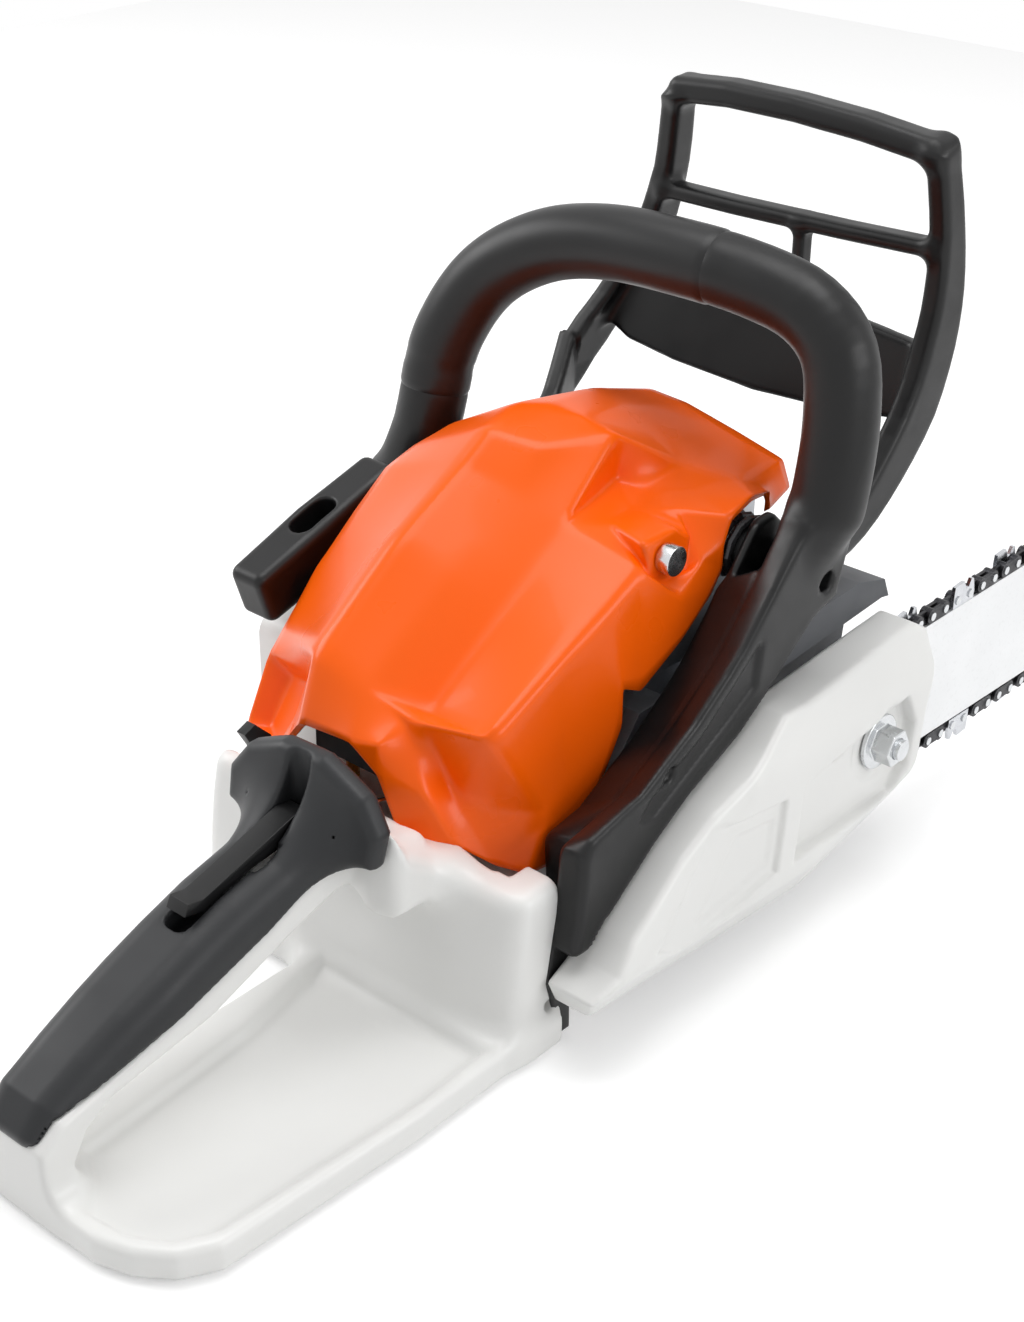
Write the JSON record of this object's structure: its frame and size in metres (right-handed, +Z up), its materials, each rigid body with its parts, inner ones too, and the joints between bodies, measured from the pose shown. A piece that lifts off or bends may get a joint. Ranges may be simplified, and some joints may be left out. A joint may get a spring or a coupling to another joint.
{
  "type": "chainsaw",
  "caption": "Compact petrol chainsaw with a rear handle, a tubular front handle, a tilting hand guard, a recoil starter and a guide bar with its saw chain.",
  "frame": {"origin": "on the ground under the crankshaft, in the middle of the flat engine pan", "axes": "+X towards the nose of the guide bar, +Y towards the starter side, +Z up"},
  "size_m": [0.7032, 0.2399, 0.276],
  "materials": {
    "housing_white": "moulded satin white polyamide",
    "cover_orange": "high gloss orange polyamide",
    "frame_black": "satin black glass-filled polyamide",
    "grip_soft": "dark satin soft-touch elastomer",
    "sleeve_black": "smooth black soft sleeve",
    "housing_grey": "dark grey moulded plastic",
    "cast_grey": "die-cast magnesium, painted",
    "cylinder_alu": "cast aluminium with cooling fins",
    "steel": "machined steel",
    "zinc": "zinc-plated steel",
    "bar_steel": "satin bright bar steel",
    "chain_black": "oiled dark chain steel",
    "cutter_chrome": "chromed cutter",
    "spring_black": "black coated spring steel",
    "rubber_black": "black rubber",
    "brass": "brass",
    "filter_felt": "pleated filter medium",
    "rope_white": "braided starter rope",
    "plastic_green": "moulded plastic",
    "fuel_amber": "amber fuel line"
  },
  "bodies": {
    "powerhead": {"rear_housing": "housing_white", "rear_grip": "grip_soft", "handle_frame": "frame_black", "handle_sleeve": "sleeve_black", "top_cover": "cover_orange", "cover_screw": "zinc", "crankcase": "cast_grey", "brake_housing": "housing_grey", "starter_housing": "housing_white", "sprocket_cover": "housing_white", "cylinder": "cylinder_alu", "piston": "cylinder_alu", "piston_pin": "steel", "connecting_rod": "steel", "crankshaft": "steel", "main_bearings": "steel", "shaft_seals": "rubber_black", "flywheel": "cylinder_alu", "ignition_coil": "housing_grey", "spark_plug": "zinc", "ignition_lead": "rubber_black", "muffler": "steel", "intake_boot": "rubber_black", "carburettor": "cylinder_alu", "air_filter": "filter_felt", "clutch_hub": "steel", "brake_band": "steel", "oil_pump": "housing_grey", "bar_stud": "zinc", "bar_nut": "zinc", "guide_bar": "bar_steel", "tensioner": "zinc", "chain_drive_links": "chain_black", "chain_straps": "chain_black", "chain_cutters": "cutter_chrome", "chain_rivets": "zinc", "chain_catcher": "housing_grey", "av_springs": "spring_black", "av_plugs": "rubber_black", "housing_screws": "zinc", "guard_pin": "zinc", "trigger_pin": "zinc", "interlock_pin": "zinc", "throttle_rod": "zinc", "recoil_spring": "steel", "starter_pawl": "brass", "rope_bushing": "zinc", "fuel_line": "fuel_amber"},
    "throttle_trigger": {"throttle_trigger": "frame_black"},
    "throttle_interlock": {"throttle_interlock": "frame_black"},
    "hand_guard": {"hand_guard": "frame_black"},
    "control_lever": {"control_lever": "frame_black"},
    "fuel_cap": {"fuel_cap": "frame_black"},
    "oil_cap": {"oil_cap": "frame_black"},
    "throttle_shaft": {"throttle_shaft": "brass"},
    "starter_pull": {"starter_grip": "frame_black", "starter_rope": "rope_white"},
    "rope_rotor": {"rope_rotor": "plastic_green"},
    "clutch_drum": {"clutch_drum": "steel"},
    "nose_sprocket": {"nose_sprocket": "steel"}
  },
  "joints": [
    {"name": "trigger_pull", "type": "hinge", "parent": "powerhead", "child": "throttle_trigger", "pos_m": [-0.142, -0.008, 0.068], "axis": [0, 1, 0], "range_deg": [0, 14], "stiffness_Nm_per_rad": 0.15, "springref_deg": -17.19},
    {"name": "interlock_press", "type": "hinge", "parent": "powerhead", "child": "throttle_interlock", "pos_m": [-0.152, -0.008, 0.087], "axis": [0, -1, 0], "range_deg": [0, 8], "stiffness_Nm_per_rad": 0.15, "springref_deg": -17.19},
    {"name": "guard_tilt", "type": "hinge", "parent": "powerhead", "child": "hand_guard", "pos_m": [0.032, 0, 0.132], "axis": [0, 1, 0], "range_deg": [0, 15]},
    {"name": "control_lever_turn", "type": "hinge", "parent": "powerhead", "child": "control_lever", "pos_m": [-0.131, 0.028, 0.084], "axis": [0, 1, 0], "range_deg": [-12, 12]},
    {"name": "fuel_cap_turn", "type": "hinge", "parent": "powerhead", "child": "fuel_cap", "pos_m": [-0.092, 0.076, 0.03], "axis": [0, 1, 0], "range_deg": [0, 90]},
    {"name": "oil_cap_turn", "type": "hinge", "parent": "powerhead", "child": "oil_cap", "pos_m": [0.058, 0.05, 0.027], "axis": [0, 1, 0], "range_deg": [0, 90]},
    {"name": "throttle_shaft_turn", "type": "hinge", "parent": "powerhead", "child": "throttle_shaft", "pos_m": [-0.062, 0, 0.103], "axis": [0, 1, 0], "range_deg": [0, 60]},
    {"name": "starter_pull_out", "type": "slide", "parent": "powerhead", "child": "starter_pull", "axis": [-0.309, 0, 0.9511], "range_m": [0, 0.075], "stiffness_N_per_m": 40, "springref_m": -0.05},
    {"name": "rope_rotor_turn", "type": "hinge", "parent": "powerhead", "child": "rope_rotor", "pos_m": [0, 0.087, 0.06], "axis": [0, 1, 0], "range_deg": [0, 215]},
    {"name": "drum_spin", "type": "hinge", "parent": "powerhead", "child": "clutch_drum", "pos_m": [0, -0.07, 0.06], "axis": [0, 1, 0], "continuous": true},
    {"name": "nose_spin", "type": "hinge", "parent": "powerhead", "child": "nose_sprocket", "pos_m": [0.39519, -0.086, 0.04965], "axis": [0, 1, 0], "continuous": true}
  ],
  "couplings": [
    {"joint": "throttle_shaft_turn", "follows": "trigger_pull", "ratio": 4},
    {"joint": "rope_rotor_turn", "follows": "starter_pull_out", "rad_per_m": 45.558},
    {"joint": "nose_spin", "follows": "drum_spin", "ratio": 0.66667}
  ]
}
